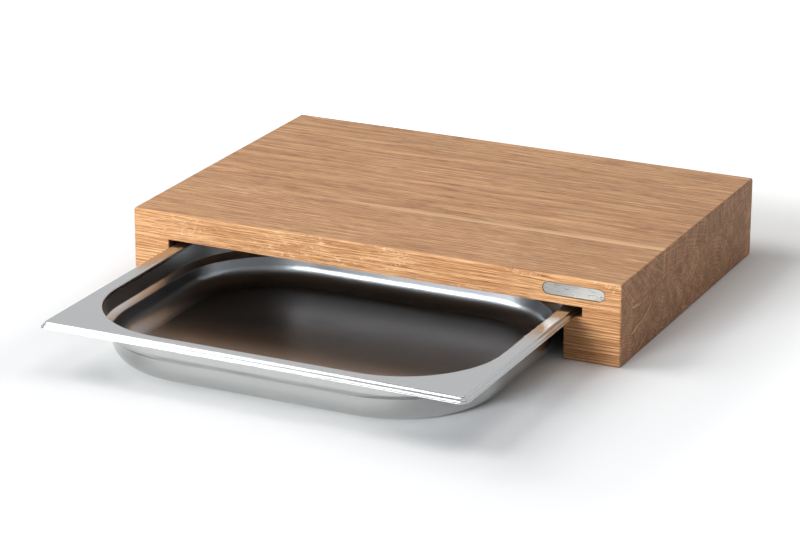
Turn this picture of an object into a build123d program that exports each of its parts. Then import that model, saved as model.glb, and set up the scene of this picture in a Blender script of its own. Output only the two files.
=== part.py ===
from build123d import *
from math import radians, tan
import os

# Oak cutting board with one pressed-steel tray that slides out at the front.
#
# The board is glued up from staves: a top over two rebated side rails and a bar that closes the back.
# The tray hangs by its rim in the grooves between the rails and the top.
#
# Frame: +Z up, -Y to the front, origin in the middle of the footprint on the table, with the tray
# drawn out as it rests. Millimetres.

os.makedirs("parts", exist_ok=True)

# how near an edge's middle has to lie to a face to be on it
TOLERANCE = 0.001

# tray, one pressed sheet
TRAY_WIDTH = 325.0
TRAY_LENGTH = 265.0
TRAY_DEPTH = 37.6
SHEET = 0.8
FLANGE_WIDTH = 11.3
OPENING_RADIUS = 75.0
ROLL_RADIUS = 1.4

# the tray's skirt, from the lip up to the flat flange
LIP_RADIUS = 6.0
LIP_WIDTH = 0.9
STEP_RISE = 1.6
STEP_TREAD = 1.9
FLANGE_RISE = 2.0
STEP_BEVEL = 0.9

# the tray's well: near-upright wall, sloping shoulder, drafted lower wall, rounded floor edge;
# the drafts are in degrees from upright
WALL_DRAFT = 1.2
SHOULDER_DROP = 14.3
SHOULDER_HEIGHT = 4.2
SHOULDER_WIDTH = 3.1
SHOULDER_BEND = 1.0
LOWER_DRAFT = 5.5
FLOOR_RADIUS = 13.0

# board
TOP_THICKNESS = 20.8
GROOVE_WALL = 29.15
REAR_BAR_THICKNESS = 13.0
ARRIS_RADIUS = 1.5
TOP_FRONT_STAVE = 80.0
TOP_MIDDLE_STAVE = 89.0
RAIL_FRONT_STAVE = 22.0
RAIL_MIDDLE_STAVE = 98.0

# blank badge plate, let into the top's front edge
BADGE_LENGTH = 46.6
BADGE_HEIGHT = 8.9
BADGE_THICKNESS = 0.9
BADGE_BORDER = 0.8
BADGE_FIELD_DEPTH = 0.25
BADGE_EDGE = 0.25
BADGE_SUNK = 0.2
BADGE_FROM_END = 36.0

# clearances
TABLE_GAP = 0.3
LIP_GAP = 0.3
LIP_SIDE_PLAY = 3.35
RIM_HEADROOM = 2.8
WELL_SIDE_PLAY = 1.7
STOP_GAP = 0.5
BADGE_GAP = 0.3

# how far the closed tray stands out at the front, how far it is drawn out at rest, and how far
# it then lies off the board's middle, within its side play
CLOSED_PROUD = 8.5
DRAWN_OUT = 185.0
TRAY_LEAN = 1.0

# heights
rim_top = TABLE_GAP + TRAY_DEPTH
lip_bottom = rim_top - FLANGE_RISE - STEP_RISE - SHEET
groove_floor = lip_bottom - LIP_GAP
rail_height = rim_top + RIM_HEADROOM
board_height = rail_height + TOP_THICKNESS

# the well's upper wall, inwards from the lip's outer edge
well_inset = FLANGE_WIDTH + ROLL_RADIUS

# widths, from the middle outwards
channel_half_width = TRAY_WIDTH / 2 - well_inset + SHEET + WELL_SIDE_PLAY
groove_half_width = TRAY_WIDTH / 2 + LIP_SIDE_PLAY
board_half_width = groove_half_width + GROOVE_WALL

# places along Y
bay_length = TRAY_LENGTH - CLOSED_PROUD + STOP_GAP
board_depth = bay_length + REAR_BAR_THICKNESS
board_front = (DRAWN_OUT - board_depth) / 2
bar_front = board_front + bay_length
board_back = board_front + board_depth
tray_centre = (-TRAY_LEAN, board_front - DRAWN_OUT + TRAY_LENGTH / 2)


def arrises(block):
    """The straight edges of a block where two outer faces of the whole board meet."""

    def on_two_outer_faces(edge):
        middle = edge.center()
        from_faces = (
            abs(middle.X) - board_half_width,
            abs(middle.Y - (board_front + board_back) / 2) - board_depth / 2,
            abs(middle.Z - board_height / 2) - board_height / 2,
        )
        return sum(abs(distance) < TOLERANCE for distance in from_faces) == 2

    return block.edges().filter_by(GeomType.LINE).filter_by(on_two_outer_faces)


def save(part, name):
    """Label a finished piece and write its STEP file."""
    part.label = name
    export_step(part, f"parts/{name}.step")


# ---- top: three staves, edge to edge
badge_centre = (board_half_width - BADGE_FROM_END, board_front, rail_height + TOP_THICKNESS / 2)
badge_face = Plane(badge_centre, x_dir=(1, 0, 0), z_dir=(0, -1, 0))
badge_seat = badge_face.offset(-BADGE_SUNK - BADGE_THICKNESS)

top_joints = (
    board_front,
    board_front + TOP_FRONT_STAVE,
    board_front + TOP_FRONT_STAVE + TOP_MIDDLE_STAVE,
    board_back,
)

for place, start, end in zip(("front", "middle", "back"), top_joints, top_joints[1:]):
    with BuildPart() as stave:
        with BuildSketch(Plane.XY.offset(rail_height)):
            with Locations((0, (start + end) / 2)):
                Rectangle(2 * board_half_width, end - start)
        extrude(amount=TOP_THICKNESS)
        fillet(arrises(stave), ARRIS_RADIUS)
        if place == "front":
            with BuildSketch(badge_seat):
                SlotOverall(BADGE_LENGTH + 2 * BADGE_GAP, BADGE_HEIGHT + 2 * BADGE_GAP)
            extrude(amount=BADGE_THICKNESS + BADGE_SUNK, mode=Mode.SUBTRACT)
    save(stave.part, f"top_stave_{place}")

# ---- side rails: three staves each, rebated on the inside for the tray's rim
rail_joints = (
    board_front,
    board_front + RAIL_FRONT_STAVE,
    board_front + RAIL_FRONT_STAVE + RAIL_MIDDLE_STAVE,
    bar_front,
)
rail_section = (
    (channel_half_width, 0),
    (board_half_width, 0),
    (board_half_width, rail_height),
    (groove_half_width, rail_height),
    (groove_half_width, groove_floor),
    (channel_half_width, groove_floor),
)

for side, hand in (("right", 1), ("left", -1)):
    for place, start, end in zip(("front", "middle", "back"), rail_joints, rail_joints[1:]):
        with BuildPart() as rail:
            with BuildSketch(Plane.XZ.offset(-end)):
                with BuildLine():
                    Polyline([(hand * x, z) for x, z in rail_section], close=True)
                make_face()
            extrude(amount=end - start)
            fillet(arrises(rail), ARRIS_RADIUS)
        save(rail.part, f"rail_{side}_{place}")

# ---- rear bar: closes the bay and stops the tray
with BuildPart() as rear_bar:
    with BuildSketch():
        with Locations((0, (bar_front + board_back) / 2)):
            Rectangle(2 * board_half_width, REAR_BAR_THICKNESS)
    extrude(amount=rail_height)
    fillet(arrises(rear_bar), ARRIS_RADIUS)
save(rear_bar.part, "rear_bar")

# ---- badge plate: blank, with a raised border
with BuildPart() as badge_plate:
    with BuildSketch(badge_seat):
        SlotOverall(BADGE_LENGTH, BADGE_HEIGHT)
    extrude(amount=BADGE_THICKNESS)
    chamfer(badge_plate.faces().sort_by(Axis.Y)[0].edges(), BADGE_EDGE)
    with BuildSketch(badge_seat.offset(BADGE_THICKNESS)):
        SlotOverall(BADGE_LENGTH - 2 * BADGE_BORDER, BADGE_HEIGHT - 2 * BADGE_BORDER)
    extrude(amount=-BADGE_FIELD_DEPTH, mode=Mode.SUBTRACT)
save(badge_plate.part, "badge_plate")

# ---- tray: skirt, flange, well and floor of one sheet
riser = LIP_WIDTH + STEP_TREAD
flange_start = riser + STEP_BEVEL + SHEET
flange_end = FLANGE_WIDTH - SHEET
rim_height = rim_top - lip_bottom
floor_top = TABLE_GAP + SHEET
shoulder_top = rim_top - SHOULDER_DROP
shoulder_bottom = shoulder_top - SHOULDER_HEIGHT
shoulder_outside = SHOULDER_DROP * tan(radians(WALL_DRAFT))
shoulder_inside = shoulder_outside + SHOULDER_WIDTH
wall_foot = shoulder_inside + (shoulder_bottom - floor_top) * tan(radians(LOWER_DRAFT))
floor_start = wall_foot + FLOOR_RADIUS


def rounded_outline(inset, radius, height):
    """The tray's outline, moved inwards from the lip's outer edge by the inset, at a height."""
    with BuildSketch(Plane((*tray_centre, height))) as outline:
        RectangleRounded(TRAY_WIDTH - 2 * inset, TRAY_LENGTH - 2 * inset, radius)
    return outline.sketch


def section(corners, ease, inset, height):
    """The sheet's section at the tray's right side, under a line that runs inwards and up from a
    point at this inset and height. Each corner of the line is (place, size above, size below),
    and a fillet or a chamfer of these sizes eases it on the sheet's two faces."""
    start = (tray_centre[0] + TRAY_WIDTH / 2 - inset, tray_centre[1], height)
    with BuildSketch(Plane(start, x_dir=(-1, 0, 0), z_dir=(0, 1, 0))) as sheet:
        with BuildLine():
            Polyline([place for place, above, below in corners])
            offset(amount=SHEET, side=Side.RIGHT, kind=Kind.INTERSECTION)
        make_face()
        for place, above, below in corners:
            if below:
                ease(sheet.vertices().sort_by_distance(place)[1], below)
            if above:
                ease(sheet.vertices().sort_by_distance(place)[0], above)
    return sheet.sketch


# the skirt, from the lip's outer edge up to the flange
skirt_corners = (
    ((0, SHEET), 0, 0),
    ((LIP_WIDTH, SHEET), 0, 0),
    ((LIP_WIDTH, SHEET + STEP_RISE), STEP_BEVEL, 0),
    ((riser, SHEET + STEP_RISE), 0, 0),
    ((riser, rim_height), STEP_BEVEL, 0),
    ((flange_start, rim_height), 0, 0),
)
skirt = section(skirt_corners, chamfer, 0, lip_bottom)

# the well, from the flange's inner edge down to the floor
well_corners = (
    ((-ROLL_RADIUS - SHEET, 0), 0, 0),
    ((0, 0), ROLL_RADIUS, 0),
    ((shoulder_outside, -SHOULDER_DROP), SHOULDER_BEND, 0),
    ((shoulder_inside, -SHOULDER_DROP - SHOULDER_HEIGHT), SHOULDER_BEND + SHEET, 0),
    ((wall_foot, floor_top - rim_top), FLOOR_RADIUS, FLOOR_RADIUS + SHEET),
    ((floor_start, floor_top - rim_top), 0, 0),
)
well = section(well_corners, fillet, well_inset, rim_top)
mouth_radius = OPENING_RADIUS - ROLL_RADIUS

with BuildPart() as tray:
    sweep(skirt, path=rounded_outline(0, LIP_RADIUS, lip_bottom).wire())
    sweep(well, path=rounded_outline(well_inset, mouth_radius, rim_top).wire())
    with BuildSketch(Plane((*tray_centre, rim_top - SHEET))):
        RectangleRounded(
            TRAY_WIDTH - 2 * flange_start,
            TRAY_LENGTH - 2 * flange_start,
            LIP_RADIUS - flange_start,
        )
        RectangleRounded(
            TRAY_WIDTH - 2 * flange_end,
            TRAY_LENGTH - 2 * flange_end,
            OPENING_RADIUS + SHEET,
            mode=Mode.SUBTRACT,
        )
    extrude(amount=SHEET)
    with BuildSketch(Plane((*tray_centre, floor_top))):
        RectangleRounded(
            TRAY_WIDTH - 2 * (well_inset + floor_start),
            TRAY_LENGTH - 2 * (well_inset + floor_start),
            mouth_radius - floor_start,
        )
    extrude(amount=-SHEET)
save(tray.part, "tray")
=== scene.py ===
import math

import bpy
from mathutils import Matrix, Vector


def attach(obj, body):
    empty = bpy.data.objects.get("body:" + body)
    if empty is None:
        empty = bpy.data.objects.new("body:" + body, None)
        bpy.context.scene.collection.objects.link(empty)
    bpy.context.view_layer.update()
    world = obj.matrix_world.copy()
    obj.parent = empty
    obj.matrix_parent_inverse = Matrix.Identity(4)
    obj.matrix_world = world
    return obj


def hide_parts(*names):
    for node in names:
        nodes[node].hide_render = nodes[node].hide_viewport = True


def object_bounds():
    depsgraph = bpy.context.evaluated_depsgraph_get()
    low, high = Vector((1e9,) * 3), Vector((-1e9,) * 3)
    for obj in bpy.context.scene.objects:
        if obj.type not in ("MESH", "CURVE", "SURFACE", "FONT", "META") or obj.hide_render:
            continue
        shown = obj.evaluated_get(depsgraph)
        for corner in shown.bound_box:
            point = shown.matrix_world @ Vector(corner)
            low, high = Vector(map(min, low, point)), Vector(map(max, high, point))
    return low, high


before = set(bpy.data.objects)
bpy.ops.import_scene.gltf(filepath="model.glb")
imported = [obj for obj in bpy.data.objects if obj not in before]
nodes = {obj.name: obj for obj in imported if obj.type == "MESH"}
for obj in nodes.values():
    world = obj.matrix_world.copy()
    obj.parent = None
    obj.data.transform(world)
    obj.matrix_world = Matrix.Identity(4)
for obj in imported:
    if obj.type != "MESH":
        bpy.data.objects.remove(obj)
cad_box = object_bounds()

MM = 0.001

# ---------------------------------------------------------------- camera
CAMERA_PLACE = Vector((0.9079, -1.87565, 0.76956))
CAMERA_AZIMUTH = math.radians(25.7205)
CAMERA_ELEVATION = math.radians(19.5003)
CAMERA_ROLL = math.radians(0.088)
CAMERA_LENS = 135.953
CAMERA_CLIP = (0.05, 50.0)
SENSOR_WIDTH = 36.0


def make_camera():
    """The photograph's own view."""
    data = bpy.data.cameras.new("camera")
    data.lens = CAMERA_LENS
    data.sensor_width = SENSOR_WIDTH
    data.clip_start, data.clip_end = CAMERA_CLIP
    camera = bpy.data.objects.new("camera", data)
    bpy.context.scene.collection.objects.link(camera)
    back = Vector((
        math.sin(CAMERA_AZIMUTH) * math.cos(CAMERA_ELEVATION),
        -math.cos(CAMERA_AZIMUTH) * math.cos(CAMERA_ELEVATION),
        math.sin(CAMERA_ELEVATION),
    ))
    turn = (-back).to_track_quat("-Z", "Y").to_matrix() @ Matrix.Rotation(CAMERA_ROLL, 3, "Z")
    camera.matrix_world = Matrix.Translation(CAMERA_PLACE) @ turn.to_4x4()
    bpy.context.scene.camera = camera


# ---------------------------------------------------------------- node helpers
def srgb(red, green, blue):
    """A screen colour, 0 to 255, as linear RGBA."""
    def linear(value):
        value /= 255
        return value / 12.92 if value <= 0.04045 else ((value + 0.055) / 1.055) ** 2.4
    return (linear(red), linear(green), linear(blue), 1)


class Graph:
    """A node tree, where each call adds a node and returns its output socket."""

    def __init__(self, tree):
        self.tree = tree
        self.tree.nodes.clear()

    def add(self, kind, **settings):
        made = self.tree.nodes.new(kind)
        for key, value in settings.items():
            setattr(made, key, value)
        return made

    def feed(self, socket, value):
        if isinstance(value, bpy.types.NodeSocket):
            self.tree.links.new(value, socket)
        else:
            socket.default_value = value

    def math(self, operation, *values):
        made = self.add("ShaderNodeMath", operation=operation)
        for socket, value in zip(made.inputs, values):
            self.feed(socket, value)
        return made.outputs[0]

    def times(self, first, *others):
        """The product of all its values."""
        for other in others:
            first = self.math("MULTIPLY", first, other)
        return first

    def ease(self, value, gain, base):
        """The value times a gain, plus a base."""
        return self.math("MULTIPLY_ADD", value, gain, base)

    def vector(self, operation, *values):
        made = self.add("ShaderNodeVectorMath", operation=operation)
        for socket, value in zip(made.inputs, values):
            self.feed(socket, value)
        return made.outputs["Value" if operation in ("LENGTH", "DOT_PRODUCT") else "Vector"]

    def split(self, vector):
        made = self.add("ShaderNodeSeparateXYZ")
        self.feed(made.inputs[0], vector)
        return made.outputs

    def join(self, x, y, z):
        made = self.add("ShaderNodeCombineXYZ")
        for socket, value in zip(made.inputs, (x, y, z)):
            self.feed(socket, value)
        return made.outputs[0]

    def noise(self, vector, stretch, seed, detail=2.0, roughness=0.5, distortion=0.0):
        """Noise from 0 to 1 whose cell along each axis is the inverse of the stretch."""
        offset = (seed, 1.7 * seed, 2.3 * seed)
        made = self.add("ShaderNodeTexNoise")
        self.feed(made.inputs["Vector"], self.vector("MULTIPLY_ADD", vector, stretch, offset))
        for key, value in (("Scale", 1.0), ("Detail", detail), ("Roughness", roughness),
                           ("Distortion", distortion)):
            made.inputs[key].default_value = value
        return made.outputs[0]

    def between(self, value, low, high, start=0.0, end=1.0):
        """The value mapped smoothly from low..high to start..end."""
        made = self.add("ShaderNodeMapRange", interpolation_type="SMOOTHSTEP")
        for socket, given in zip(made.inputs, (value, low, high, start, end)):
            self.feed(socket, given)
        return made.outputs[0]

    def below(self, value, low, high):
        """1 under low, falling smoothly to 0 at high."""
        return self.between(value, low, high, 1.0, 0.0)

    def mix(self, factor, first, second):
        made = self.add("ShaderNodeMix", data_type="RGBA", blend_type="MIX")
        self.feed(made.inputs["Factor"], factor)
        self.feed(made.inputs[6], first)
        self.feed(made.inputs[7], second)
        return made.outputs[2]

    def scale(self, vector, amount):
        """The vector or colour times a number."""
        made = self.add("ShaderNodeVectorMath", operation="SCALE")
        self.feed(made.inputs[0], vector)
        self.feed(made.inputs["Scale"], amount)
        return made.outputs[0]

    def place_and_normal(self):
        """The object's own coordinates in mm, and its normal."""
        coordinates = self.add("ShaderNodeTexCoord").outputs
        return self.scale(coordinates["Object"], 1 / MM), coordinates["Normal"]

    def bump(self, height, strength, distance):
        made = self.add("ShaderNodeBump")
        made.inputs["Strength"].default_value = strength
        made.inputs["Distance"].default_value = distance
        self.feed(made.inputs["Height"], height)
        return made.outputs[0]

    def surface(self, **sockets):
        output = self.add("ShaderNodeOutputMaterial")
        shader = self.add("ShaderNodeBsdfPrincipled")
        for key, value in sockets.items():
            self.feed(shader.inputs[key.replace("_", " ")], value)
        self.tree.links.new(shader.outputs[0], output.inputs["Surface"])


def new_material(name, kind=Graph, *settings):
    """A material and the graph of its nodes."""
    material = bpy.data.materials.new(name)
    material.use_nodes = True
    return material, kind(material.node_tree, *settings)


# ---------------------------------------------------------------- stage
# the floor whitens with the distance in metres from the object's footprint
FLOOR_SIZE = 12.0
FLOOR_COLOUR = (0.9, 0.9, 0.89, 1)
ANY_HEIGHT = 1.0
FOOTPRINT = (cad_box[1].x, cad_box[1].y, ANY_HEIGHT)

# a range is (low, high, value at low, value at high)
NEAR_GLOW = (0.0, 0.06, 0.0, 0.15)
FAR_GLOW = (0.05, 0.28, 0.0, 0.7)

# what metal mirrors: a backdrop by how far a direction points back, a screen by how near it is to
# the screen's own, cut off above by how far it points up, and a haze round that
ROOM_COLOUR = (0.18, 0.18, 0.185, 1)
BACKDROP = (0.1, 0.6, 0.3, 0.88)
SCREEN_WAY = (-0.41, -0.9, 0.2)
SCREEN = (0.82, 0.94, 0.0, 16.0)
SCREEN_TOP = (0.15, 0.28, 1.0, 0.0)
HAZE = (0.5, 0.9, 0.0, 0.4)

LIGHT_TARGET = (0, 0, 0.03)
FILL_COLOUR = (0.95, 1.0, 1.07)


def make_floor():
    """A pale floor that keeps the shadow near the object and whitens away from it."""
    bpy.ops.mesh.primitive_plane_add(size=FLOOR_SIZE, location=(0, 0, 0))
    floor = bpy.context.object
    floor.name = "floor"
    material, graph = new_material("floor_white")
    path = graph.add("ShaderNodeLightPath").outputs
    seen = graph.math("MAXIMUM", path["Is Camera Ray"], path["Is Glossy Ray"])
    seen = graph.math("MAXIMUM", seen, path["Is Transmission Ray"])
    place = graph.add("ShaderNodeTexCoord").outputs["Object"]
    outside = graph.vector("SUBTRACT", graph.vector("ABSOLUTE", place), FOOTPRINT)
    away = graph.vector("LENGTH", graph.vector("MAXIMUM", outside, (0.0, 0.0, 0.0)))
    near = graph.between(away, *NEAR_GLOW)
    glow = graph.times(seen, graph.math("ADD", near, graph.between(away, *FAR_GLOW)))
    graph.surface(
        Base_Color=FLOOR_COLOUR,
        Roughness=1.0,
        Specular_IOR_Level=0.0,
        Emission_Color=(1, 1, 1, 1),
        Emission_Strength=glow,
    )
    floor.data.materials.append(material)


def make_world():
    """A dim room round the object. Metal mirrors a backdrop that is paler at the back and a low
    bright screen at the front left in its place, and the camera sees white."""
    world = bpy.data.worlds.new("studio")
    bpy.context.scene.world = world
    world.use_nodes = True
    graph = Graph(world.node_tree)

    def background(colour, strength):
        made = graph.add("ShaderNodeBackground")
        graph.feed(made.inputs["Color"], colour)
        graph.feed(made.inputs["Strength"], strength)
        return made.outputs[0]

    def choose(factor, first, second):
        made = graph.add("ShaderNodeMixShader")
        for socket, value in zip(made.inputs, (factor, first, second)):
            graph.feed(socket, value)
        return made.outputs[0]

    direction = graph.add("ShaderNodeTexCoord").outputs["Generated"]
    axes = graph.split(direction)
    toward = graph.vector("DOT_PRODUCT", direction, Vector(SCREEN_WAY).normalized())
    haze = graph.between(toward, *HAZE)
    screen = graph.ease(graph.between(toward, *SCREEN), graph.between(axes["Z"], *SCREEN_TOP), haze)
    total = graph.math("ADD", graph.between(axes["Y"], *BACKDROP), screen)
    path = graph.add("ShaderNodeLightPath").outputs
    mirrored = background((1, 1, 1, 1), total)
    lit = choose(path["Is Glossy Ray"], background(ROOM_COLOUR, 1.0), mirrored)
    seen = choose(path["Is Camera Ray"], lit, background((1, 1, 1, 1), 1.0))
    output = graph.add("ShaderNodeOutputWorld")
    graph.feed(output.inputs["Surface"], seen)


def area_light(name, place, size, power, colour=(1, 1, 1), mirrored=True):
    """A rectangular lamp that shines at the middle of the object."""
    data = bpy.data.lights.new(name, "AREA")
    data.color = colour
    data.shape = "RECTANGLE"
    data.size, data.size_y = size
    data.energy = power
    light = bpy.data.objects.new(name, data)
    bpy.context.scene.collection.objects.link(light)
    light.visible_glossy = mirrored
    turn = (Vector(LIGHT_TARGET) - Vector(place)).to_track_quat("-Z", "Y").to_matrix()
    light.matrix_world = Matrix.Translation(place) @ turn.to_4x4()


def make_lights():
    """A key lamp at the left, a soft one in front that metal does not mirror, and one above."""
    area_light("key", place=(-1.5, -0.5, 1.8), size=(1.3, 1.3), power=26)
    area_light("front_fill", place=(-0.5, -2.35, 0.6), size=(0.9, 0.5), power=56,
               colour=FILL_COLOUR, mirrored=False)
    area_light("overhead", place=(0.3, 0.2, 2.3), size=(1.6, 1.6), power=12)


# ---------------------------------------------------------------- tray
# all in mm
TRAY_CENTRE = (-1.0, -95.0)
TRAY_WIDTH = 325.0
TRAY_LENGTH = 265.0
SHEET = 0.8
FLOOR_TOP = 1.1
HEM_RADIUS = SHEET / 2
HEM_STEPS = 6

# each corner of the sheet's upper face: inset from the lip's outer edge, height, and radius
TRAY_CORNERS = (
    (0.4, 34.3, 0),
    (0.9, 34.3, 0.35),
    (0.9, 35.9, 1.05),
    (2.8, 35.9, 0.8),
    (2.8, 37.9, 1.1),
    (12.7, 37.9, 1.4),
    (13.0, 23.6, 1.2),
    (16.1, 19.4, 2.2),
    (17.862, FLOOR_TOP, 13.0),
    (30.862, FLOOR_TOP, 0),
)
ARC_STEP = math.radians(9)
FLOOR_RINGS = (45.0, 65.0, 90.0)

# the outline's corner radius at a few insets, with straight changes between them
OUTLINE_RADII = (
    (0, 6), (4.5, 1.8), (11.3, 75), (13, 73.3), (16.1, 77), (17.9, 75.5), (31, 62), (100, 8),
)
CORNER_STEPS = 22
SIDE_STEPS = 10

# the front edge of the rim bows in at its middle, over this half length, and the bow fades away
# between two insets
FRONT_BOW = 1.0
BOW_HALF_LENGTH = 156.0
BOW_FADE = (4.5, 11.3)

NORMAL_WEIGHT = 90


def eased_line(corners):
    """The line through the corners, rounded at each, as (point, normal on its left)."""
    line = []
    places = [Vector(corner[:2]) for corner in corners]
    for index, (corner, place) in enumerate(zip(corners, places)):
        arrive = (place - places[index - 1]).normalized() if index else None
        leave = (places[index + 1] - place).normalized() if index + 1 < len(places) else None
        arrive = arrive or leave
        leave = leave or arrive
        left = Vector((-arrive.y, arrive.x))
        turn = arrive.angle_signed(leave) if arrive != leave else 0.0
        side = -1.0 if turn > 0 else 1.0
        turn = abs(turn)
        radius = corner[2]
        centre = place - arrive * radius * math.tan(turn / 2) + side * radius * left
        steps = max(1, math.ceil(turn / ARC_STEP)) if radius else 0
        for step in range(steps + 1):
            angle = side * turn * step / max(steps, 1)
            normal = Matrix.Rotation(angle, 2) @ left
            line.append((centre - side * radius * normal if radius else place, normal))
    return line


def outline_radius(inset):
    """The outline's corner radius at an inset, in mm."""
    for (near, start), (far, end) in zip(OUTLINE_RADII, OUTLINE_RADII[1:]):
        if inset <= far:
            return start + (end - start) * (inset - near) / (far - near)
    return OUTLINE_RADII[-1][1]


def outline(inset):
    """The points round the tray's outline at an inset, from the tray's middle, in mm."""
    half_x = TRAY_WIDTH / 2 - inset
    half_y = TRAY_LENGTH / 2 - inset
    radius = outline_radius(max(inset, 0))
    arcs = []
    for quarter, (side_x, side_y) in enumerate(((1, 1), (-1, 1), (-1, -1), (1, -1))):
        centre = (side_x * (half_x - radius), side_y * (half_y - radius))
        for step in range(CORNER_STEPS + 1):
            angle = math.pi / 2 * (quarter + step / CORNER_STEPS)
            arcs.append((centre[0] + radius * math.cos(angle),
                         centre[1] + radius * math.sin(angle)))
    points = []
    for index, point in enumerate(arcs):
        points.append(point)
        if index % (CORNER_STEPS + 1) == CORNER_STEPS:
            after = arcs[(index + 1) % len(arcs)]
            for step in range(1, SIDE_STEPS):
                share = step / SIDE_STEPS
                points.append(tuple(a + (b - a) * share for a, b in zip(point, after)))
    return points


def tray_ring(inset, height):
    """The points round the tray at an inset and height, in metres."""
    fade_start, fade_end = BOW_FADE
    fade = min(1.0, max(0.0, (fade_end - inset) / (fade_end - fade_start)))
    ring = []
    for x, y in outline(inset):
        bow = FRONT_BOW * fade * max(0.0, 1 - (x / BOW_HALF_LENGTH) ** 2) if y < 0 else 0.0
        ring.append(Vector((TRAY_CENTRE[0] + x, TRAY_CENTRE[1] + y + bow, height)) * MM)
    return ring


def tray_profile():
    """The sheet's whole section, from the floor's upper face out round the hem and back below."""
    line = eased_line(TRAY_CORNERS)
    upper = [tuple(point) for point, _ in line] + [(inset, FLOOR_TOP) for inset in FLOOR_RINGS]
    lower = [tuple(point - SHEET * normal) for point, normal in line]
    lower += [(inset, FLOOR_TOP - SHEET) for inset in FLOOR_RINGS]
    centre_inset, centre_height = upper[0][0], upper[0][1] - HEM_RADIUS
    hem = []
    for step in range(1, HEM_STEPS):
        angle = math.pi / 2 + math.pi * step / HEM_STEPS
        hem.append((centre_inset + HEM_RADIUS * math.cos(angle),
                    centre_height + HEM_RADIUS * math.sin(angle)))
    return upper[::-1] + hem + lower


def make_tray():
    """The pan as one smooth skin, in the place of the CAD tray."""
    profile = tray_profile()
    vertices = []
    for inset, height in profile:
        vertices += tray_ring(inset, height)
    around = len(vertices) // len(profile)
    faces = [tuple(range(around)), tuple(range(len(vertices) - around, len(vertices)))[::-1]]
    for row in range(len(profile) - 1):
        low = row * around
        for place in range(around):
            after = (place + 1) % around
            faces.append((low + place, low + around + place, low + around + after, low + after))
    mesh = bpy.data.meshes.new("tray_pan")
    mesh.from_pydata([tuple(vertex) for vertex in vertices], [], faces)
    mesh.validate()
    mesh.polygons.foreach_set("use_smooth", [True] * len(mesh.polygons))
    tray = bpy.data.objects.new("tray_pan", mesh)
    bpy.context.scene.collection.objects.link(tray)
    weighted = tray.modifiers.new("weighted", "WEIGHTED_NORMAL")
    weighted.weight = NORMAL_WEIGHT
    weighted.keep_sharp = True
    tray.data.materials.append(steel("tray_steel"))
    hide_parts("tray")
    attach(tray, "tray")


# ---------------------------------------------------------------- steel
RIM_STEEL = (0.49, 0.499, 0.507, 1)
WALL_STEEL = (0.46, 0.49, 0.52, 1)
# paler steel on the inside walls above the shoulder: a painted highlight
UPPER_WALL_PAINTED_HIGHLIGHT = (0.66, 0.67, 0.68, 1)
OUTSIDE_STEEL = (0.56, 0.56, 0.55, 1)
# the floor's dark steel is painted shade where it mirrors the board's underside, and its paler,
# bluish front a painted reflection of the pale room
FLOOR_PAINTED_SHADE = (0.27, 0.263, 0.267, 1)
FLOOR_FRONT_PAINTED_REFLECTION = (0.52, 0.57, 0.63, 1)
BADGE_STEEL = (0.58, 0.56, 0.53)

# heights in mm between which one part of the pan passes into the next
RIM_HEIGHTS = (34, 37)
SKIRT_HEIGHTS = (30, 33)
SHOULDER_HEIGHTS = (19, 24)
FLOOR_HEIGHTS = (2.0, 12.0)
FLOOR_FRONT = (-210, -110)

# the sheet's side: the share of its normal that points away from the tray's middle, times the
# distance from there in mm
FACING_IN = (-6.0, 1.0)
FACING_OUT = (1.0, 6.0)

# how far up a face points where the floor's roughness, painted shade and painted reflection come in
FACING_UP = (0.3, 0.95)

# the rim's roughness, and what the other parts and marks add to it
RIM_ROUGHNESS = 0.16
INSIDE_ADDS = 0.09
FLOOR_ADDS = 0.03
FLOOR_FRONT_ADDS = 0.26
SMUDGE_ADDS = 0.03
BRUSHED_ADDS = 0.04

# fields of noise, by their cells per mm along X, Y and Z
BRUSHED = {"stretch": (0.012, 1.6, 1.6), "seed": 3.0, "detail": 3.0, "roughness": 0.6}
SMUDGE = {"stretch": (0.02, 0.03, 0.03), "seed": 11.0}
BADGE_BRUSHED = {"stretch": (0.15, 3.0, 3.0), "seed": 5.0, "detail": 3.0, "roughness": 0.6}

# (gain, base) of the brush marks in tone and roughness, and (strength, depth in m) of their relief
BRUSHED_TONE = (0.06, 0.97)
BADGE_TONE = (0.3, 0.82)
BADGE_ROUGHNESS = (0.15, 0.22)
BADGE_RELIEF = (0.15, 0.00004)


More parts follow.
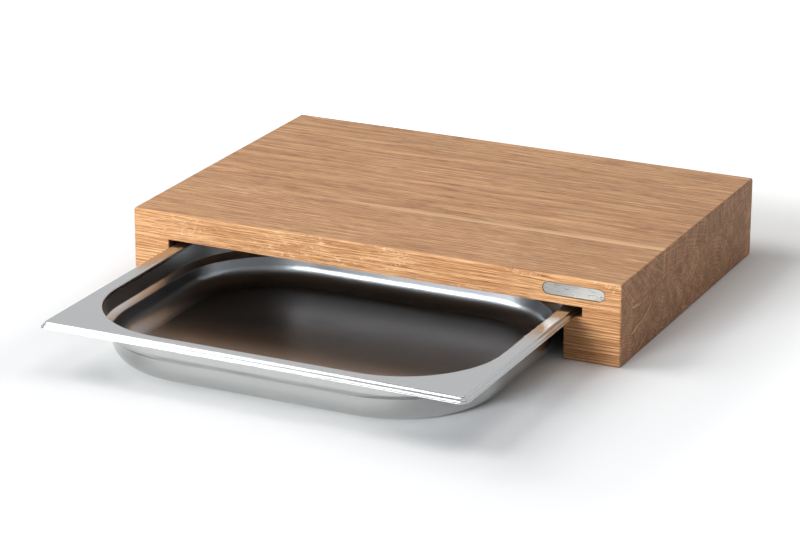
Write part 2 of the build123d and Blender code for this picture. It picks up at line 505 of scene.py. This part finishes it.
def steel(name):
    """Satin stainless steel with fine brush marks, in a finish for each part of the pan, with a
    painted highlight on the upper inside walls and painted shade on the floor that passes to a
    painted reflection at its front.
    """
    material, graph = new_material(name)
    place, normal = graph.place_and_normal()
    x, y, height = graph.split(place)
    across, along, upward = graph.split(normal)
    outward = graph.math(
        "ADD",
        graph.times(across, graph.math("ADD", x, -TRAY_CENTRE[0])),
        graph.times(along, graph.math("ADD", y, -TRAY_CENTRE[1])),
    )
    inside = graph.times(graph.below(outward, *FACING_IN), graph.below(height, *RIM_HEIGHTS))
    upper = graph.times(inside, graph.between(height, *SHOULDER_HEIGHTS))
    outside = graph.times(graph.between(outward, *FACING_OUT), graph.below(height, *SKIRT_HEIGHTS))
    bottom = graph.times(graph.below(height, *FLOOR_HEIGHTS), graph.between(upward, *FACING_UP))
    front = graph.below(y, *FLOOR_FRONT)
    brushed = graph.noise(place, **BRUSHED)
    smudge = graph.noise(place, **SMUDGE)

    rough = graph.ease(inside, INSIDE_ADDS, RIM_ROUGHNESS)
    rough = graph.ease(bottom, graph.ease(front, FLOOR_FRONT_ADDS, FLOOR_ADDS), rough)
    rough = graph.ease(smudge, SMUDGE_ADDS, rough)
    rough = graph.ease(brushed, BRUSHED_ADDS, rough)

    colour = graph.mix(inside, RIM_STEEL, WALL_STEEL)
    # a painted highlight on the inside walls above the shoulder
    colour = graph.mix(upper, colour, UPPER_WALL_PAINTED_HIGHLIGHT)
    # painted shade on the floor, passing to a painted reflection at its front
    colour = graph.mix(bottom, colour, graph.mix(front, FLOOR_PAINTED_SHADE, FLOOR_FRONT_PAINTED_REFLECTION))
    colour = graph.mix(outside, colour, OUTSIDE_STEEL)
    colour = graph.scale(colour, graph.ease(brushed, *BRUSHED_TONE))
    graph.surface(Base_Color=colour, Metallic=1.0, Roughness=rough)
    return material


def badge_steel():
    """Bright brushed plate."""
    material, graph = new_material("badge")
    place, _ = graph.place_and_normal()
    brushed = graph.noise(place, **BADGE_BRUSHED)
    graph.surface(
        Base_Color=graph.scale(BADGE_STEEL, graph.ease(brushed, *BADGE_TONE)),
        Metallic=1.0,
        Roughness=graph.ease(brushed, *BADGE_ROUGHNESS),
        Normal=graph.bump(brushed, *BADGE_RELIEF),
    )
    return material


# ---------------------------------------------------------------- oak
# each stave's oak: where its pith lies (Y, Z in mm), seed, tone, ring width in mm, strength of its
# rings, and how strongly its rays show as flecks
OAK = {
    "top_stave_front": ((-170, 190), 1.0, 0.98, 2.6, 0.6, 1.0),
    "top_stave_middle": ((60, -150), 7.0, 0.98, 3.0, 0.6, 0.3),
    "top_stave_back": ((250, -140), 13.0, 0.96, 2.8, 0.55, 0.4),
    "rail_right_front": ((-60, -130), 19.0, 1.0, 2.2, 2.0, 0.3),
    "rail_right_middle": ((52, 36), 23.0, 0.9, 3.2, 0.7, 0.6),
    "rail_right_back": ((150, -16), 29.0, 1.02, 3.4, 0.7, 0.6),
    "rail_left_front": ((-70, 190), 31.0, 0.94, 2.4, 1.2, 0.3),
    "rail_left_middle": ((20, -60), 37.0, 0.97, 3.0, 0.6, 0.5),
    "rail_left_back": ((160, 120), 41.0, 1.0, 3.2, 0.6, 0.5),
    "rear_bar": ((320, 60), 43.0, 1.25, 2.6, 0.6, 0.4),
}

# each field of noise over a stave: its cells per mm along X, Y and Z, the step of its seed past the
# stave's own, and what else differs from plain noise; the rings' field is stretched over the
# distance from the pith, and the rays' over X, the way round the pith and that distance
FIELDS = {
    "slow": ((0.005, 0.03, 0.03), 0, {}),
    "wave": ((0.012, 0.11, 0.11), 2, {}),
    "uneven_rings": ((0.09, 1, 1), 4, {"detail": 1.0}),
    "dashes": ((0.07, 2.3, 2.3), 6, {"roughness": 0.6}),
    "streaks": ((0.018, 1.4, 1.4), 8, {"detail": 3.0, "roughness": 0.6}),
    "fine": ((0.07, 3.0, 3.0), 10, {}),
    "rays": ((0.07, 1.9, 0.035), 12, {"detail": 1.0}),
    "fleck_patches": ((0.02, 0.05, 0.05), 14, {}),
    "curls": ((0.15, 0.3, 0.3), 16, {"detail": 1.0, "distortion": 1.0}),
    "curl_patches": ((0.02, 0.06, 0.06), 18, {}),
    "end_hatch": ((0.1, 0.25, 2.4), 20, {"roughness": 0.6}),
}

# the levels of noise over which each mark comes in, or goes out
STREAK_LEVELS = (0.33, 0.67)
PORE_LEVELS = (0.51, 0.62)
RAY_LEVELS = (0.56, 0.66)
FLECK_PATCH_LEVELS = (0.52, 0.62)
CURL_RISE = (0.58, 0.61)
CURL_FALL = (0.62, 0.65)
CURL_PATCH_LEVELS = (0.5, 0.6)
END_WAVE_LEVELS = (0.35, 0.65)

# how far the pith sways towards the front or back in mm, the share of that it moves up or down, how
# many rings the rings' own unevenness moves them, and the shares of a ring's width over which its
# dark start rises and falls
SLOW_SWAY = 14.0
WAVE_SWAY = 3.0
UPWARD_SWAY = -0.7
RING_SWAY = 3.0
RING_RISE = (0.0, 0.14)
RING_FALL = (0.2, 0.55)

# rays have their true width at this place (Y, Z in mm), or at this distance from a nearer pith
RAY_PLACE = (40, 30)
LEAST_REACH = 25.0

# how far along X a face points where end grain comes in, and along Y where the front's curls fade
END_FACING = (0.45, 0.75)
FRONT_FACING = (-0.7, -0.3)

# the strength of each mark, and (gain, base) where one field changes the strength or tone of what
# it is laid on
RING_STRENGTH = 0.55
PORE_STRENGTH = 0.8
FLECK_STRENGTH = 0.7
END_RING_STRENGTH = 0.5
END_RAY_STRENGTH = 0.65
PORES_IN_RING = (0.6, 0.4)
CURLS_IN_FRONT = (0.42, 0.08)
FINE_TONE = (0.8, 0.62)
SLOW_TONE = (0.24, 0.9)
END_FINE_TONE = (1.3, 0.42)
END_HATCH_TONE = (1.4, 0.32)

# the long grain's roughness, and what end grain and pores add to it
OAK_ROUGHNESS = 0.44
END_ADDS = 0.16
PORE_ADDS = 0.2
OAK_SPECULAR = 0.3

# the height of pores and rings in the relief, and its (strength, depth in m)
PORE_RELIEF = -1.0
RING_RELIEF = -0.35
OAK_RELIEF = (0.35, 0.00012)

LIGHT_WOOD = srgb(232, 180, 128)
DEEP_WOOD = srgb(166, 112, 70)
PORE_BROWN = srgb(118, 72, 38)
FLECK_COLOUR = srgb(240, 198, 150)
CURL_COLOUR = srgb(252, 214, 168)
BAND_COLOUR = srgb(244, 200, 152)
END_DARK = srgb(158, 114, 82)
END_LIGHT = srgb(182, 134, 98)
END_EARLY = srgb(118, 80, 58)
END_RAY = srgb(226, 182, 140)

# the glue line between the front and middle staves: the front one darkens towards it, and a light
# band runs behind it; both show more at the right (places along Y and X in mm)
DARK_SIDE = (14, 37)
DARK_SIDE_CHANGE = -0.1
BAND = (38, 48)
BAND_STRENGTH = 0.7
GLUE_LINE_FADE = (-190, 120, 0.25, 1.0)

# painted shade: faces darkened as if in shadow, and their change of tone: the channel and grooves
# under the top, and the badge's seat (places in mm)
PAINTED_SHADE_CHANGE = -0.75
CHANNEL_TOP = (40.6, 40.8)
CHANNEL_SIDE = (166.2, 166.5)
CHANNEL_FRONT = (-42.0, -40.0)
CHANNEL_BACK = (214.6, 215.6)
SEAT_CENTRE = (159.0, 51.1)
SEAT_HALF_LENGTH = (24.0, 24.3)
SEAT_HALF_HEIGHT = (5.0, 5.3)
SEAT_MOUTH = (-42.45, -42.3)
SEAT_FLOOR = (-41.0, -40.0)


class Oak(Graph):
    """Oak with its grain along X, its rings round a pith, pores, rays and slow changes of tone, and
    painted shade in the channel, grooves and badge's seat.
    """

    def __init__(self, tree, pith, seed, ring_width):
        super().__init__(tree)
        self.seed = seed
        self.place, normal = self.place_and_normal()
        self.x, self.y, self.z = self.split(self.place)
        facing_x, self.facing_y, _ = self.split(normal)
        self.end = self.between(self.math("ABSOLUTE", facing_x), *END_FACING)
        self.slow = self.field("slow")
        self.wave = self.field("wave")
        self.fine = self.field("fine")
        self.find_rings(pith, ring_width)
        self.find_pores()
        self.find_rays(pith)

    def field(self, name, place=None):
        """One of the fields of noise, over the stave or over another place."""
        stretch, step, settings = FIELDS[name]
        place = self.place if place is None else place
        return self.noise(place, stretch, self.seed + step, **settings)

    def find_rings(self, pith, ring_width):
        """Rings with a dark porous start, on a wavering pith."""
        sway = self.ease(self.slow, SLOW_SWAY, self.times(self.wave, WAVE_SWAY))
        rise = self.times(sway, UPWARD_SWAY)
        self.from_pith_y = self.math("ADD", self.math("ADD", self.y, -pith[0]), sway)
        self.from_pith_z = self.math("ADD", self.math("ADD", self.z, -pith[1]), rise)
        self.radius = self.vector("LENGTH", self.join(0.0, self.from_pith_y, self.from_pith_z))
        uneven = self.field("uneven_rings", self.join(self.radius, 0.0, 0.0))
        rings = self.ease(self.radius, 1 / ring_width, self.times(uneven, RING_SWAY))
        phase = self.math("FRACT", rings)
        self.early = self.times(self.between(phase, *RING_RISE), self.below(phase, *RING_FALL))

    def find_pores(self):
        """Thin dark dashes along the grain, mostly in the ring's start."""
        dashes = self.between(self.field("dashes"), *PORE_LEVELS)
        self.pores = self.times(dashes, self.ease(self.early, *PORES_IN_RING))

    def find_rays(self, pith):
        """Thin sheets that run out from the pith."""
        reach = max(math.dist(pith, RAY_PLACE), LEAST_REACH)
        angle = self.math("ARCTAN2", self.from_pith_z, self.from_pith_y)
        rays = self.field("rays", self.join(self.x, self.times(angle, reach), self.radius))
        self.ray = self.between(rays, *RAY_LEVELS)

    def curls(self):
        """Short curled marks where rays reach the surface, most of all on the front face."""
        curls = self.field("curls")
        curl = self.times(self.between(curls, *CURL_RISE), self.below(curls, *CURL_FALL))
        patches = self.between(self.field("curl_patches"), *CURL_PATCH_LEVELS)
        facing = self.below(self.facing_y, *FRONT_FACING)
        return self.times(curl, patches, self.ease(facing, *CURLS_IN_FRONT))

    def long_grain(self, ring_strength, flecks):
        """The colour of faces along the grain."""
        streaks = self.between(self.field("streaks"), *STREAK_LEVELS)
        rings = self.times(self.early, RING_STRENGTH * ring_strength)
        patches = self.between(self.field("fleck_patches"), *FLECK_PATCH_LEVELS)
        fleck = self.times(self.ray, patches, FLECK_STRENGTH * flecks)
        colour = self.mix(streaks, DEEP_WOOD, LIGHT_WOOD)
        colour = self.mix(rings, colour, DEEP_WOOD)
        colour = self.mix(self.times(self.pores, PORE_STRENGTH), colour, PORE_BROWN)
        colour = self.scale(colour, self.ease(self.fine, *FINE_TONE))
        colour = self.scale(colour, self.ease(self.slow, *SLOW_TONE))
        colour = self.mix(fleck, colour, FLECK_COLOUR)
        return self.mix(self.times(self.curls(), flecks), colour, CURL_COLOUR)

    def end_grain(self):
        """The colour of faces across the grain."""
        colour = self.mix(self.between(self.wave, *END_WAVE_LEVELS), END_DARK, END_LIGHT)
        colour = self.mix(self.times(self.early, END_RING_STRENGTH), colour, END_EARLY)
        colour = self.mix(self.times(self.ray, END_RAY_STRENGTH), colour, END_RAY)
        colour = self.scale(colour, self.ease(self.field("end_hatch"), *END_HATCH_TONE))
        return self.scale(colour, self.ease(self.fine, *END_FINE_TONE))

    def dark_side(self, colour):
        """The colour, darkened towards the glue line behind the front stave."""
        fade = self.between(self.x, *GLUE_LINE_FADE)
        edge = self.times(self.between(self.y, *DARK_SIDE), fade)
        return self.scale(colour, self.ease(edge, DARK_SIDE_CHANGE, 1.0))

    def light_band(self, colour):
        """The colour, with a light band along the middle stave's front, but not on its ends."""
        fade = self.between(self.x, *GLUE_LINE_FADE)
        edge = self.times(self.below(self.y, *BAND), self.math("SUBTRACT", 1.0, self.end))
        return self.mix(self.times(edge, fade, BAND_STRENGTH), colour, BAND_COLOUR)

    def painted_shade(self):
        """1 where painted shade darkens the oak, in the channel, the grooves and the badge's seat,
        and 0 elsewhere.
        """
        channel = self.times(
            self.below(self.z, *CHANNEL_TOP),
            self.below(self.math("ABSOLUTE", self.x), *CHANNEL_SIDE),
            self.between(self.y, *CHANNEL_FRONT),
            self.below(self.y, *CHANNEL_BACK),
        )
        from_centre_x = self.math("ABSOLUTE", self.math("ADD", self.x, -SEAT_CENTRE[0]))
        from_centre_z = self.math("ABSOLUTE", self.math("ADD", self.z, -SEAT_CENTRE[1]))
        seat = self.times(
            self.below(from_centre_x, *SEAT_HALF_LENGTH),
            self.below(from_centre_z, *SEAT_HALF_HEIGHT),
            self.between(self.y, *SEAT_MOUTH),
            self.below(self.y, *SEAT_FLOOR),
        )
        return self.math("MAXIMUM", channel, seat)


def oak(name, pith, seed, tone, ring_width, ring_strength, flecks):
    """The oak of one stave."""
    material, wood = new_material("oak_" + name, Oak, pith, seed, ring_width)
    colour = wood.mix(wood.end, wood.long_grain(ring_strength, flecks), wood.end_grain())
    colour = wood.scale(colour, tone)
    if name == "top_stave_front":
        colour = wood.dark_side(colour)
    if name == "top_stave_middle":
        colour = wood.light_band(colour)
    # painted shade darkens the channel, the grooves and the badge's seat
    colour = wood.scale(colour, wood.ease(wood.painted_shade(), PAINTED_SHADE_CHANGE, 1.0))
    rough = wood.ease(wood.pores, PORE_ADDS, wood.ease(wood.end, END_ADDS, OAK_ROUGHNESS))
    relief = wood.ease(wood.pores, PORE_RELIEF, wood.times(wood.early, RING_RELIEF))
    wood.surface(
        Base_Color=colour,
        Roughness=rough,
        Specular_IOR_Level=OAK_SPECULAR,
        Normal=wood.bump(relief, *OAK_RELIEF),
    )
    return material


def dress_nodes():
    """Gives the CAD nodes that show their materials."""
    for name, settings in OAK.items():
        piece = nodes[name]
        piece.data.materials.clear()
        piece.data.materials.append(oak(name, *settings))
    badge = nodes["badge_plate"]
    badge.data.materials.clear()
    badge.data.materials.append(badge_steel())


make_camera()
make_world()
make_floor()
make_lights()
make_tray()
dress_nodes()

bpy.context.scene.view_settings.view_transform = "Standard"
